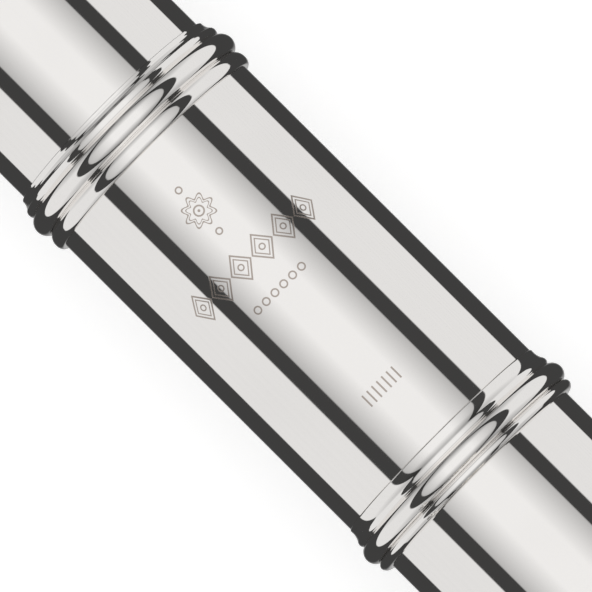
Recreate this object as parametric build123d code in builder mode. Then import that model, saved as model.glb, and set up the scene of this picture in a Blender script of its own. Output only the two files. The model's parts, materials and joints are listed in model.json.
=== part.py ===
from build123d import *
import os
from math import asin, cos, radians, sin

# A concert flute in C with covered keys, an offset G and a C foot.
# X runs along the tube from the crown to the foot, Y points at the listener, Z is up through the key cups.
# The origin is on the tube's axis at the open end of the foot. All lengths are millimetres.

os.makedirs("parts", exist_ok=True)

# ---------------------------------------------------------------- driving dimensions
bore_radius = 9.5
tube_wall = 0.38
tube_radius = bore_radius + tube_wall
joint_clearance = 0.04
socket_radius = tube_radius + joint_clearance

embouchure_x = -603.0
crown_end_x = embouchure_x - 67.0
head_tube_end_x = embouchure_x - 55.0
head_bore_radius = 8.5
stopper_taper = 0.003
stopper_face_x = embouchure_x - 17.3

barrel_start_x = embouchure_x + 118.0
barrel_length = 42.1
barrel_end_x = barrel_start_x + barrel_length
barrel_radius = 10.22
ring_seat_radius = 10.05
ring_head_length = 5.05
ring_body_length = 4.55
tenon_end_x = barrel_start_x + 30.0
body_start_x = barrel_end_x - 6.1

body_end_x = embouchure_x + 485.0
foot_socket_start_x = embouchure_x + 471.5
foot_socket_end_x = embouchure_x + 486.7
foot_tube_start_x = body_end_x + 0.5

# Tone holes: distance from the embouchure, hole radius, angle from the top towards the listener.
chimney_wall = 0.4
rim_bead = 0.34
rim_height = 12.1
offset_angle = 13.0
thumb_angle = -122.0
g_sharp_angle = 125.0
foot_angle = -12.0

d_sharp_trill_hole = (187.0, 3.9, 0.0)
d_trill_hole = (208.0, 3.9, 0.0)
c_sharp_hole = (233.0, 3.6, 0.0)
thumb_hole = (272.0, 6.5, thumb_angle)
b_hole = (291.5, 6.8, 0.0)
b_flat_hole = (312.0, 6.9, 0.0)
a_hole = (333.5, 7.1, offset_angle)
g_sharp_twin_hole = (356.5, 7.2, offset_angle)
g_sharp_hole = (356.5, 6.7, g_sharp_angle)
g_hole = (380.7, 7.4, 0.0)
f_sharp_hole = (406.5, 7.5, 0.0)
f_hole = (434.0, 7.6, 0.0)
e_hole = (462.0, 7.65, 0.0)
foot_d_sharp_hole = (495.5, 7.8, foot_angle)
foot_d_hole = (524.5, 7.9, foot_angle)
foot_c_sharp_hole = (556.0, 7.9, foot_angle)

body_holes = [d_sharp_trill_hole, d_trill_hole, c_sharp_hole, thumb_hole, b_hole, b_flat_hole, a_hole,
              g_sharp_twin_hole, g_sharp_hole, g_hole, f_sharp_hole, f_hole, e_hole]
foot_holes = [foot_d_sharp_hole, foot_d_hole, foot_c_sharp_hole]

# Key work: the hinge line lies beside the cups, `hinge_offset` across and `hinge_height` out from the axis.
hinge_offset = 11.63
hinge_height = 12.47
hinge_tube_radius = 1.6
steel_radius = 1.0
running_clearance = 0.05
end_play = 0.1
opening = 8.5
cup_overhang = 1.55
cup_lip = 0.85
cup_wall = 0.45
pad_thickness = 2.4
pad_gap = 0.05
arm_width = 2.8

post_ball_radius = 1.95
post_stem_radius = 0.95
rib_top_radius = 10.5
rib_inner_angle = 57.5
rib_outer_angle = 76.0
post_foot = (9.3, 4.1)

trill_offset = 15.2
trill_height = 10.2
trill_tube_radius = 1.5


# ---------------------------------------------------------------- frames
def hinge_frame(x, angle, side=-1, turned=0.0, offset=hinge_offset, height=hinge_height):
    """Plane across the tube's axis at x, seen from outside, for a key whose hinge is on one side.

    Its x runs along the tube, y towards the listener when the angle is 0, and z out through the tone hole.
    `turned` opens it about the hinge by that many degrees.
    """
    swing = radians(-side * turned)
    across = side * offset
    shift_across = across - (across * cos(swing) - height * sin(swing))
    shift_out = height - (across * sin(swing) + height * cos(swing))
    start = radians(angle)
    base = Plane(origin=(x, 0, 0), x_dir=(1, 0, 0), z_dir=(0, sin(start), cos(start)))
    centre = base.from_local_coords((0, shift_across, shift_out))
    now = start - swing
    return Plane(origin=centre, x_dir=(1, 0, 0), z_dir=(0, sin(now), cos(now)))


def section_of(frame):
    """The cross-section plane of a key frame: across the tube, then outwards."""
    return Plane(origin=frame.origin, x_dir=frame.y_dir, z_dir=(1, 0, 0))


def profile_of(frame):
    """The lengthwise plane of a key frame: along the tube, then outwards."""
    return Plane(origin=frame.origin, x_dir=(1, 0, 0), z_dir=-frame.y_dir)


def save(piece, name):
    piece.label = name
    export_step(piece, f"parts/{name}.step")


# ---------------------------------------------------------------- head joint
taper_end_x = embouchure_x + 100.0
riser_length = 7.7
riser_width = 6.9
embouchure_length = 6.1
embouchure_width = 5.2
plate_half_length = 30.0
plate_half_width = 12.6
plate_crest = 14.0
plate_drop = 3.7
plate_thickness = 0.9


def head_bore_at(x):
    """Radius of the head joint's bore: a curve from the body's bore to the embouchure, then a slight cone."""
    if x >= taper_end_x:
        return bore_radius
    if x <= embouchure_x:
        return head_bore_radius - stopper_taper * (embouchure_x - x)
    share = (taper_end_x - x) / (taper_end_x - embouchure_x)
    return bore_radius - (bore_radius - head_bore_radius) * share ** 1.6


def crest_at(x):
    """Height of the lip plate's outer face above the tube's axis, at a distance along the tube."""
    return plate_crest - plate_drop * ((x - embouchure_x) / plate_half_length) ** 2


with BuildPart() as head_tube:
    with BuildSketch(Plane.XY):
        with BuildLine():
            taper_length = taper_end_x - embouchure_x
            stations = (taper_end_x, taper_end_x - taper_length / 3, embouchure_x + taper_length / 3,
                        embouchure_x)
            taper = [(x, head_bore_at(x)) for x in stations]
            inside = Spline(taper)
            outside = Spline([(x, radius + tube_wall) for x, radius in taper])
            end_bore = head_bore_at(head_tube_end_x)
            Polyline(inside @ 1, (head_tube_end_x, end_bore), (head_tube_end_x, end_bore + tube_wall),
                     outside @ 1)
            Polyline(inside @ 0, (tenon_end_x, bore_radius), (tenon_end_x, tube_radius), outside @ 0)
        make_face()
    revolve(axis=Axis.X)
    with BuildSketch(Plane.XY.offset(bore_radius / 2)):
        with Locations((embouchure_x, 0)):
            Ellipse(embouchure_length, embouchure_width)
    extrude(amount=bore_radius, mode=Mode.SUBTRACT)
save(head_tube.part, "head_tube")

with BuildPart() as lip_plate:
    with BuildSketch(Plane.XY):
        with BuildLine():
            ends = (embouchure_x - plate_half_length, embouchure_x, embouchure_x + plate_half_length)
            top = ThreePointArc(*[(x, crest_at(x)) for x in ends])
            under = ThreePointArc(*[(x, crest_at(x) - plate_thickness) for x in ends])
            Line(top @ 0, under @ 0)
            Line(top @ 1, under @ 1)
        make_face()
    revolve(axis=Axis.X)
    with BuildSketch(Plane.XY):
        with Locations((embouchure_x, 0)):
            Ellipse(plate_half_length - 0.4, plate_half_width)
            Ellipse(embouchure_length, embouchure_width, mode=Mode.SUBTRACT)
    extrude(amount=plate_crest + 1, mode=Mode.INTERSECT)
    fillet(lip_plate.edges().filter_by(lambda e: e.center().Z > plate_crest - 2.0
                                       and abs(e.center().X - embouchure_x) < 8
                                       and e.length < 50), radius=0.3)
save(lip_plate.part, "lip_plate")

with BuildPart() as riser:
    with BuildSketch(Plane.XY.offset(bore_radius / 2)):
        with Locations((embouchure_x, 0)):
            Ellipse(riser_length, riser_width)
            Ellipse(embouchure_length, embouchure_width, mode=Mode.SUBTRACT)
    extrude(amount=bore_radius)
    with BuildSketch(Plane.XY):
        with BuildLine():
            stations = (embouchure_x - riser_length - 1, embouchure_x, embouchure_x + riser_length + 1)
            lower = ThreePointArc(*[(x, head_bore_at(x) + tube_wall + 0.01) for x in stations])
            upper = ThreePointArc(*[(x, crest_at(x) - plate_thickness) for x in stations])
            Line(lower @ 0, upper @ 0)
            Line(lower @ 1, upper @ 1)
        make_face()
    revolve(axis=Axis.X, mode=Mode.INTERSECT)
save(riser.part, "riser")

# The crown closes the tube's end and turns on the stopper's screw, which draws the cork along the bore.
crown_radius = 9.35
crown_plug_length = 5.0
stopper_length = 18.0
disc_thickness = 1.2
screw_radius = 1.9
crown_face_x = head_tube_end_x - 0.1
plug_radius = head_bore_at(head_tube_end_x) - 0.1
cork_radius = head_bore_at(head_tube_end_x) - 0.06

dome_start = (crown_end_x + 1.7, 7.4)
dome_radius = (dome_start[1] ** 2 + (dome_start[0] - crown_end_x) ** 2) / (2 * (dome_start[0] - crown_end_x))
dome_half_angle = asin(dome_start[1] / dome_radius) / 2
dome_middle = (crown_end_x + dome_radius * (1 - cos(dome_half_angle)), dome_radius * sin(dome_half_angle))

with BuildPart() as crown:
    with BuildSketch(Plane.XY):
        with BuildLine():
            Polyline((crown_face_x + crown_plug_length, screw_radius + 0.1),
                     (crown_face_x + crown_plug_length, plug_radius),
                     (crown_face_x, plug_radius), (crown_face_x, crown_radius),
                     (crown_face_x - 1.6, crown_radius), (crown_face_x - 2.0, crown_radius - 0.45),
                     (crown_face_x - 6.6, crown_radius - 0.45), (crown_face_x - 7.2, crown_radius))
            ThreePointArc((crown_face_x - 7.2, crown_radius), (crown_face_x - 9.2, crown_radius - 0.6),
                          dome_start)
            ThreePointArc(dome_start, dome_middle, (crown_end_x, 0))
            Polyline((crown_end_x, 0), (crown_face_x - 6.0, 0), (crown_face_x - 6.0, screw_radius + 0.1),
                     (crown_face_x + crown_plug_length, screw_radius + 0.1))
        make_face()
    revolve(axis=Axis.X)
save(crown.part, "crown")

with BuildPart() as stopper_plate:
    with BuildSketch(Plane.YZ.offset(stopper_face_x - disc_thickness)):
        Circle(cork_radius)
    extrude(amount=disc_thickness)
    fillet(stopper_plate.edges().sort_by(Axis.X)[-1], radius=0.3)
save(stopper_plate.part, "stopper_plate")

with BuildPart() as stopper_screw:
    with BuildSketch(Plane.YZ.offset(crown_face_x - 5.0)):
        Circle(screw_radius)
    extrude(amount=stopper_face_x - disc_thickness - crown_face_x + 5.0)
    chamfer(stopper_screw.edges().sort_by(Axis.X)[0], length=0.4)
save(stopper_screw.part, "stopper_screw")

with BuildPart() as stopper_cork:
    with BuildSketch(Plane.YZ.offset(stopper_face_x - disc_thickness - stopper_length)):
        Circle(cork_radius)
        Circle(screw_radius, mode=Mode.SUBTRACT)
    extrude(amount=stopper_length)
save(stopper_cork.part, "stopper_cork")

with BuildPart() as stopper_washer:
    with BuildSketch(Plane.YZ.offset(stopper_face_x - stopper_length - 2 * disc_thickness)):
        Circle(cork_radius)
        Circle(screw_radius, mode=Mode.SUBTRACT)
    extrude(amount=disc_thickness)
    with BuildSketch(Plane.YZ.offset(stopper_face_x - stopper_length - 2 * disc_thickness)):
        RegularPolygon(radius=4.2, side_count=6)
        Circle(screw_radius, mode=Mode.SUBTRACT)
    extrude(amount=-2.4)
save(stopper_washer.part, "stopper_washer")


# ---------------------------------------------------------------- barrel and its two moulded rings
with BuildPart() as barrel:
    with BuildSketch(Plane.XY):
        with BuildLine():
            waist_start = barrel_start_x + ring_head_length
            waist_end = barrel_end_x - ring_body_length
            Polyline((barrel_start_x, socket_radius), (barrel_start_x, ring_seat_radius),
                     (waist_start, ring_seat_radius), (waist_start, barrel_radius),
                     (waist_end, barrel_radius), (waist_end, ring_seat_radius),
                     (barrel_end_x, ring_seat_radius), (barrel_end_x, tube_radius),
                     (body_start_x, tube_radius), (body_start_x, socket_radius), close=True)
        make_face()
    revolve(axis=Axis.X)
save(barrel.part, "barrel")


def bead(start, peak, end):
    """A round moulding through three points, each a distance along the ring and a radius."""
    return ThreePointArc(start, peak, end)


# The head ring has a hollow that climbs to a small bead, a large round bead, a groove and a quarter round
# beside the barrel. The body ring has a low hollow beside the barrel, a small bead, a large round bead, a
# groove and a quarter round that drops to the body's tube.
with BuildPart() as head_ring:
    with BuildSketch(Plane.XY):
        with BuildLine():
            x = barrel_start_x
            Line((x, ring_seat_radius), (x, 10.20))
            bead((x, 10.20), (x + 0.51, 10.30), (x + 0.92, 10.60))
            Line((x + 0.92, 10.60), (x + 1.00, 10.62))
            bead((x + 1.00, 10.62), (x + 1.31, 10.62), (x + 1.57, 10.44))
            bead((x + 1.57, 10.44), (x + 2.60, 11.10), (x + 3.50, 10.48))
            Line((x + 3.50, 10.48), (x + 3.55, 10.42))
            bead((x + 3.55, 10.42), (x + 3.90, 10.70), (x + 4.40, 10.81))
            bead((x + 4.40, 10.81), (x + 4.74, 10.76), (x + 4.98, 10.62))
            Polyline((x + 4.98, 10.62), (x + ring_head_length, 10.48),
                     (x + ring_head_length, ring_seat_radius), (x, ring_seat_radius))
        make_face()
    revolve(axis=Axis.X)
save(head_ring.part, "head_ring")

with BuildPart() as body_ring:
    with BuildSketch(Plane.XY):
        with BuildLine():
            x = barrel_end_x - ring_body_length
            Line((x, ring_seat_radius), (x, 10.26))
            Line((x, 10.26), (x + 0.09, 10.32))
            bead((x + 0.09, 10.32), (x + 0.75, 10.37), (x + 1.17, 10.56))
            Line((x + 1.17, 10.56), (x + 1.25, 10.59))
            bead((x + 1.25, 10.59), (x + 1.52, 10.60), (x + 1.76, 10.44))
            bead((x + 1.76, 10.44), (x + 2.66, 11.07), (x + 3.58, 10.44))
            Line((x + 3.58, 10.44), (x + 3.66, 10.60))
            bead((x + 3.66, 10.60), (x + 3.95, 10.72), (x + 4.22, 10.62))
            bead((x + 4.22, 10.62), (x + 4.44, 10.42), (x + ring_body_length, 10.16))
            Polyline((x + ring_body_length, 10.16), (x + ring_body_length, ring_seat_radius),
                     (x, ring_seat_radius))
        make_face()
    revolve(axis=Axis.X)
save(body_ring.part, "body_ring")


# ---------------------------------------------------------------- tubes with drawn tone holes
def drawn_tube(start, end, holes):
    """A tube whose tone holes are drawn up out of its wall into chimneys with a rolled rim."""
    with BuildPart() as tube:
        with BuildSketch(Plane.YZ.offset(start)):
            Circle(tube_radius)
        extrude(amount=end - start)
        for distance, radius, angle in holes:
            frame = hinge_frame(embouchure_x + distance, angle)
            with BuildSketch(frame.offset(bore_radius / 2)):
                Circle(radius + chimney_wall)
            extrude(amount=rim_height - rim_bead - bore_radius / 2)
            with Locations(frame.offset(rim_height - rim_bead)):
                Torus(radius + chimney_wall, rim_bead)
        with BuildSketch(Plane.YZ.offset(start)):
            Circle(bore_radius)
        extrude(amount=end - start, mode=Mode.SUBTRACT)
        for distance, radius, angle in holes:
            frame = hinge_frame(embouchure_x + distance, angle)
            with BuildSketch(frame.offset(bore_radius / 2)):
                Circle(radius)
            extrude(amount=rim_height, mode=Mode.SUBTRACT)
    return tube.part


save(drawn_tube(body_start_x, body_end_x, body_holes), "body_tube")
save(drawn_tube(foot_tube_start_x, 0.0, foot_holes), "foot_tube")

with BuildPart() as foot_socket:
    with BuildSketch(Plane.XY):
        with BuildLine():
            Polyline((foot_socket_start_x, socket_radius), (foot_socket_start_x, ring_seat_radius),
                     (foot_socket_start_x + ring_body_length, ring_seat_radius),
                     (foot_socket_start_x + ring_body_length, barrel_radius),
                     (foot_socket_end_x - 0.3, barrel_radius), (foot_socket_end_x, barrel_radius - 0.25),
                     (foot_socket_end_x, tube_radius), (foot_tube_start_x, tube_radius),
                     (foot_tube_start_x, socket_radius), close=True)
        make_face()
    revolve(axis=Axis.X)
save(foot_socket.part, "foot_socket")

save(Pos(foot_socket_start_x + barrel_end_x, 0, 0) * mirror(body_ring.part, about=Plane.YZ), "foot_ring")

end_ring_length = 3.2
with BuildPart() as foot_end_ring:
    with BuildSketch(Plane.XY):
        with BuildLine():
            Line((-end_ring_length, tube_radius), (-end_ring_length, 10.1))
            bead((-end_ring_length, 10.1), (-end_ring_length + 0.35, 10.3), (-end_ring_length + 0.7, 10.1))
            bead((-end_ring_length + 0.7, 10.1), (-end_ring_length / 2 + 0.35, 10.72), (-0.05, 10.1))
            Polyline((-0.05, 10.1), (-0.05, tube_radius), (-end_ring_length, tube_radius))
        make_face()
    revolve(axis=Axis.X)
save(foot_end_ring.part, "foot_end_ring")


# ---------------------------------------------------------------- ribs, posts, steels and needle springs
def ribs(strips, name):
    """Curved straps soldered to the tube; each is (start, end, first angle, last angle)."""
    with BuildPart() as straps:
        for start, end, first, last in strips:
            middle = (first + last) / 2
            frame = hinge_frame(embouchure_x + start, middle)
            reach = rib_top_radius * 1.2
            half = radians(abs(last - first) / 2)
            with BuildSketch(section_of(frame)):
                Circle(rib_top_radius)
                Circle(tube_radius, mode=Mode.SUBTRACT)
                with BuildLine():
                    Polyline((0, 0), (-reach * sin(half), reach * cos(half)),
                             (reach * sin(half), reach * cos(half)), close=True)
                make_face(mode=Mode.INTERSECT)
            extrude(amount=end - start)
    save(straps.part, name)


def ball_posts(places, name):
    """Ball-headed posts; each is (distance, angle, side, foot, offset, height), bored for its steel."""
    with BuildPart() as posts:
        for distance, angle, side, foot, offset, height in places:
            frame = hinge_frame(embouchure_x + distance, angle)
            ball = frame.from_local_coords((0, side * offset, height))
            root = frame.from_local_coords((0, side * foot[0], foot[1]))
            lean = (ball - root).normalized()
            stem = Plane(origin=root - lean * 1.2, x_dir=(1, 0, 0), z_dir=lean)
            length = (ball - root).length + 1.2
            with BuildSketch(stem):
                Circle(post_stem_radius + 0.55)
            extrude(amount=2.6, taper=8)
            with BuildSketch(stem):
                Circle(post_stem_radius)
            extrude(amount=length)
            with Locations(Plane(origin=ball, z_dir=(1, 0, 0))):
                Sphere(post_ball_radius)
        for distance, angle, side, foot, offset, height in places:
            frame = hinge_frame(embouchure_x + distance, angle)
            ball = frame.from_local_coords((0, side * offset, height))
            with Locations(Plane(origin=ball, z_dir=(1, 0, 0))):
                Cylinder(steel_radius + running_clearance, 4 * post_ball_radius, mode=Mode.SUBTRACT)
        first = embouchure_x + min(place[0] for place in places) - 10
        last = embouchure_x + max(place[0] for place in places) + 10
        with BuildSketch(Plane.YZ.offset(first)):
            Circle(rib_top_radius)
        extrude(amount=last - first, mode=Mode.SUBTRACT)
    save(posts.part, name)


def steels(runs, name, radius=steel_radius):
    """Hinge steels with a screwdriver slot in one end; each is (start, end, angle, side, offset, height)."""
    with BuildPart() as rods:
        for start, end, angle, side, offset, height in runs:
            frame = section_of(hinge_frame(embouchure_x + start, angle))
            with BuildSketch(frame):
                with Locations((side * offset, height)):
                    Circle(radius)
            extrude(amount=end - start)
            with BuildSketch(frame):
                with Locations((side * offset, height)):
                    Rectangle(2 * radius + 1, 0.35)
            extrude(amount=0.5, mode=Mode.SUBTRACT)
    save(rods.part, name)


def needle_springs(needles, name):
    """Blued needles lying beside the hinge tubes; each is (start, end, angle, side, offset, height)."""
    with BuildPart() as wires:
        for start, end, angle, side, offset, height in needles:
            with BuildSketch(section_of(hinge_frame(embouchure_x + start, angle))):
                with Locations((side * offset, height)):
                    Circle(0.25)
            extrude(amount=end - start)
    save(wires.part, name)


hinge = (hinge_offset, hinge_height)
radial_foot = (rib_top_radius * sin(radians(43.0)), rib_top_radius * cos(radians(43.0)))
trill = (trill_offset, trill_height)
trill_foot = (9.75, 3.4)

stack_posts = [222.0, 280.5, 322.8, 368.5, 420.2, 469.3]
g_posts = [325.6, 366.2]
trill_posts = [176.5, 455.6]
thumb_posts = [258.5, 311.5]
g_sharp_posts = [344.5, 390.5]
foot_stack_posts = [505.6, 566.5]
foot_d_sharp_posts = [488.4, 503.4]
post_half = post_ball_radius

ribs([(172.0, 181.0, -80.0, -62.0),
      (216.0, 330.0, -rib_outer_angle, -rib_inner_angle),
      (361.5, 470.6, -rib_outer_angle, -rib_inner_angle),
      (255.0, 262.0, -86.0, -rib_outer_angle),
      (308.0, 315.0, -86.0, -rib_outer_angle),
      (341.0, 348.0, 74.0, 90.0),
      (387.0, 394.0, 74.0, 90.0)], "body_ribs")
ribs([(501.5, 570.5, foot_angle + rib_inner_angle + 1.5, foot_angle + rib_outer_angle + 4),
      (487.0, 507.5, foot_angle - rib_outer_angle - 4, foot_angle - rib_inner_angle - 1.5)], "foot_ribs")

ball_posts([(d, 0.0, -1, post_foot, *hinge) for d in stack_posts]
           + [(d, offset_angle, -1, (10.2, 1.4), *hinge) for d in g_posts]
           + [(d, 0.0, -1, trill_foot, *trill) for d in trill_posts]
           + [(d, thumb_angle, 1, radial_foot, *hinge) for d in thumb_posts]
           + [(d, g_sharp_angle, -1, radial_foot, *hinge) for d in g_sharp_posts], "body_posts")
ball_posts([(d, foot_angle, 1, post_foot, *hinge) for d in foot_stack_posts]
           + [(d, foot_angle, -1, post_foot, *hinge) for d in foot_d_sharp_posts], "foot_posts")

steels([(stack_posts[0] - post_half, stack_posts[2] + post_half, 0.0, -1, *hinge),
        (stack_posts[3] - post_half, stack_posts[5] + post_half, 0.0, -1, *hinge)], "stack_steels")
steels([(g_posts[0] - post_half, g_posts[1] + post_half, offset_angle, -1, *hinge)], "g_steel")
steels([(thumb_posts[0] - post_half, thumb_posts[1] + post_half, thumb_angle, 1, *hinge),
        (g_sharp_posts[0] - post_half, g_sharp_posts[1] + post_half, g_sharp_angle, -1, *hinge)],
       "back_steels")
steels([(foot_d_sharp_posts[0] - post_half, foot_d_sharp_posts[1] + post_half, foot_angle, -1, *hinge),
        (foot_stack_posts[0] - post_half, foot_stack_posts[1] + post_half, foot_angle, 1, *hinge)],
       "foot_steels")

spring = (12.9, 10.55)
needle_springs([(222.0, 246.0, 0.0, -1, *spring), (280.5, 300.0, 0.0, -1, *spring),
                (304.0, 322.8, 0.0, -1, *spring), (368.5, 388.0, 0.0, -1, *spring),
                (398.0, 420.2, 0.0, -1, *spring), (420.2, 440.0, 0.0, -1, *spring),
                (450.0, 469.3, 0.0, -1, *spring), (325.6, 350.0, offset_angle, -1, *spring),
                (258.5, 282.0, thumb_angle, 1, *spring), (292.0, 311.5, thumb_angle, 1, *spring),
                (344.5, 368.0, g_sharp_angle, -1, *spring)], "body_springs")
needle_springs([(505.6, 528.0, foot_angle, 1, *spring), (545.0, 566.5, foot_angle, 1, *spring),
                (488.4, 501.0, foot_angle, -1, *spring)], "foot_springs")


# ---------------------------------------------------------------- keys
def pads(frame, holes, name):
    """Felt pads with a soft lower edge, one for each tone hole."""
    with BuildPart() as felt:
        for shift, radius in holes:
            base = frame.offset(rim_height + pad_gap)
            centre = base.from_local_coords((shift, 0, 0))
            with BuildSketch(Plane(origin=centre, x_dir=base.x_dir, z_dir=base.z_dir)):
                Circle(radius + cup_overhang - cup_wall)
            extrude(amount=pad_thickness)
        fillet(felt.edges().filter_by(GeomType.CIRCLE).filter_by(
            lambda edge: frame.to_local_coords(edge.center()).Z < rim_height + 1), radius=0.5)
    save(felt.part, name)


def add_cup(frame, shift, radius):
    """A covered cup: a rounded shell over its pad, with a low rim around a shallow finger dish."""
    centre = Plane(origin=frame.from_local_coords((shift, 0, 0)), x_dir=frame.x_dir, z_dir=frame.z_dir)
    outer = radius + cup_overhang
    lip = rim_height + cup_lip
    roof = rim_height + pad_gap + pad_thickness
    with BuildSketch(profile_of(centre)) as shell:
        with BuildLine():
            Polyline((0, roof), (outer - cup_wall, roof), (outer - cup_wall, lip), (outer, lip),
                     (outer, roof - 0.5))
            ThreePointArc((outer, roof - 0.5), (outer - 0.4, roof + 0.45), (outer - 1.35, roof + 0.85))
            ThreePointArc((outer - 1.35, roof + 0.85), (outer - 1.9, roof + 0.86),
                          (outer * 0.66, roof + 0.62))
            ThreePointArc((outer * 0.66, roof + 0.62), (outer * 0.33, roof + 0.47), (0, roof + 0.42))
            Line((0, roof + 0.42), (0, roof))
        make_face()
    revolve(shell.sketch, axis=Axis(centre.origin, centre.z_dir))


def add_tube(frame, start, end, side, offset=hinge_offset, height=hinge_height, radius=hinge_tube_radius):
    """A hinge tube between two distances along the key's frame."""
    base = section_of(frame)
    shifted = Plane(origin=base.origin + Vector(start, 0, 0), x_dir=base.x_dir, z_dir=base.z_dir)
    with BuildSketch(shifted) as ring:
        with Locations((side * offset, height)):
            Circle(radius)
    extrude(ring.sketch, amount=end - start)


def bore_tube(frame, start, end, side, offset=hinge_offset, height=hinge_height):
    """The running bore for the steel through a hinge tube and every arm that crosses it."""
    base = section_of(frame)
    shifted = Plane(origin=base.origin + Vector(start - 1, 0, 0), x_dir=base.x_dir, z_dir=base.z_dir)
    with BuildSketch(shifted) as hole:
        with Locations((side * offset, height)):
            Circle(steel_radius + running_clearance)
    extrude(hole.sketch, amount=end - start + 2, mode=Mode.SUBTRACT)


def add_bar(frame, shift, outline, width=arm_width):
    """An arm: its outline across the tube, given as (across, out) points, as wide as `width` along it."""
    base = section_of(frame)
    centre = Plane(origin=base.origin + Vector(shift, 0, 0), x_dir=base.x_dir, z_dir=base.z_dir)
    with BuildSketch(centre) as side_view:
        with BuildLine():
            Polyline(*outline, close=True)
        make_face()
    extrude(side_view.sketch, amount=width / 2, both=True)


def cup_arm(side, radius, offset=hinge_offset, height=hinge_height):
    """Outline of the arm that climbs from the hinge tube over the cup's edge to a point on its top."""
    edge = radius + cup_overhang
    top = rim_height + pad_gap + pad_thickness + 0.72
    points = [(offset + 0.9, height + 1.2), (offset - 0.6, height + 2.35), (edge - 0.2, top + 0.75),
              (edge - 2.4, top + 0.8), (edge * 0.45, top - 0.2), (edge - 2.2, top - 0.35),
              (edge - 0.3, top - 0.5), (edge - 0.3, top - 1.4), (offset - 1.3, height + 0.2)]
    return [(side * across, out) for across, out in points]


def add_touch(plane, shape_length, shape_width, thickness, turn=0.0):
    """A finger plate with rounded ends, lying in a plane."""
    with BuildSketch(plane) as outline:
        SlotOverall(shape_length, shape_width, rotation=turn)
    extrude(outline.sketch, amount=thickness)


def covered_key(name, hole, tube, pad_name, more_holes=(), swing=opening, side=-1):
    """An open-standing key: cups over its holes, an arm for each and one hinge tube."""
    distance, radius, angle = hole
    frame = hinge_frame(embouchure_x + distance, angle, side, swing)
    cups = [(0.0, radius)] + [(other[0] - distance, other[1]) for other in more_holes]
    with BuildPart() as key:
        for shift, cup_radius in cups:
            add_cup(frame, shift, cup_radius)
            add_bar(frame, shift, cup_arm(side, cup_radius))
        add_tube(frame, tube[0] - distance, tube[1] - distance, side)
        bore_tube(frame, tube[0] - distance, tube[1] - distance, side)
    save(key.part, name)
    pads(frame, cups, pad_name)


inner = post_half + end_play
covered_key("a_sharp_key", b_hole, (stack_posts[1] + inner, 301.7), "a_sharp_pad")
covered_key("a_key", b_flat_hole, (301.8, stack_posts[2] - inner), "a_pad")
covered_key("g_key", a_hole, (g_posts[0] + inner, g_posts[1] - inner), "g_pads", [g_sharp_twin_hole])
covered_key("f_sharp_key", g_hole, (stack_posts[3] + inner, 393.5), "f_sharp_pad")
covered_key("f_key", f_sharp_hole, (393.6, stack_posts[4] - inner), "f_pad")
covered_key("e_key", f_hole, (stack_posts[4] + inner, 447.9), "e_pad")
covered_key("d_key", e_hole, (448.0, stack_posts[5] - inner), "d_pad")

# The C key closes the small C sharp hole through a long tube, and the first finger presses its covered touch.
c_touch = 267.0
with BuildPart() as c_key:
    frame = hinge_frame(embouchure_x + c_sharp_hole[0], 0.0, -1, opening)
    touch_shift = c_touch - c_sharp_hole[0]
    add_cup(frame, 0.0, c_sharp_hole[1])
    add_bar(frame, 0.0, cup_arm(-1, c_sharp_hole[1]))
    add_cup(frame, touch_shift, 6.5)
    add_bar(frame, touch_shift, cup_arm(-1, 6.5))
    span = (stack_posts[0] + inner - c_sharp_hole[0], stack_posts[1] - inner - c_sharp_hole[0])
    add_tube(frame, *span, -1)
    bore_tube(frame, *span, -1)
save(c_key.part, "c_key")
pads(frame, [(0.0, c_sharp_hole[1])], "c_pad")

# Trill keys: the D sharp key's cup and touch are pinned to the inner rod, the D key's to the tube around it.
trill_cup_arm = [(-trill_offset - 0.9, trill_height + 0.9), (-trill_offset + 0.4, trill_height + 3.4),
                 (-9.6, 15.0), (-5.0, 16.2), (-2.6, 15.6), (-2.6, 15.2), (-4.9, 14.6), (-9.0, 13.4),
                 (-trill_offset + 1.3, trill_height - 0.2)]
trill_touch_arm = [(-trill_offset - 0.5, trill_height + 1.0), (-trill_offset - 3.2, trill_height + 2.5),
                   (-trill_offset - 5.4, trill_height + 2.9), (-trill_offset - 5.4, trill_height + 1.7),
                   (-trill_offset - 3.4, trill_height + 1.0), (-trill_offset - 1.0, trill_height - 0.6)]


def trill_touch(distance):
    """Plane of a trill key's teardrop touch, outside the stack's hinge line and level with the fingers."""
    return Plane(origin=(embouchure_x + distance, -trill_offset - 5.4, trill_height + 1.7), x_dir=(1, 0, 0),
                 z_dir=(0, 0, 1))


with BuildPart() as d_sharp_trill_key:
    frame = hinge_frame(embouchure_x + d_sharp_trill_hole[0], 0.0)
    add_cup(frame, 0.0, d_sharp_trill_hole[1])
    add_bar(frame, 0.0, trill_cup_arm, 2.4)
    rod = (trill_posts[0] - post_half - d_sharp_trill_hole[0],
           trill_posts[1] + post_half - d_sharp_trill_hole[0])
    collar_end = d_trill_hole[0] - 6.2 - d_sharp_trill_hole[0]
    add_tube(frame, *rod, -1, *trill, steel_radius)
    add_tube(frame, trill_posts[0] + inner - d_sharp_trill_hole[0], collar_end, -1, *trill, trill_tube_radius)
    add_bar(frame, 447.5 - d_sharp_trill_hole[0], trill_touch_arm, 2.2)
    add_tube(frame, 443.0 - d_sharp_trill_hole[0], trill_posts[1] - inner - d_sharp_trill_hole[0], -1, *trill,
             trill_tube_radius)
    add_touch(trill_touch(447.5), 8.2, 6.0, 1.3)
save(d_sharp_trill_key.part, "d_sharp_trill_key")
pads(frame, [(0.0, d_sharp_trill_hole[1])], "d_sharp_trill_pad")

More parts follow.
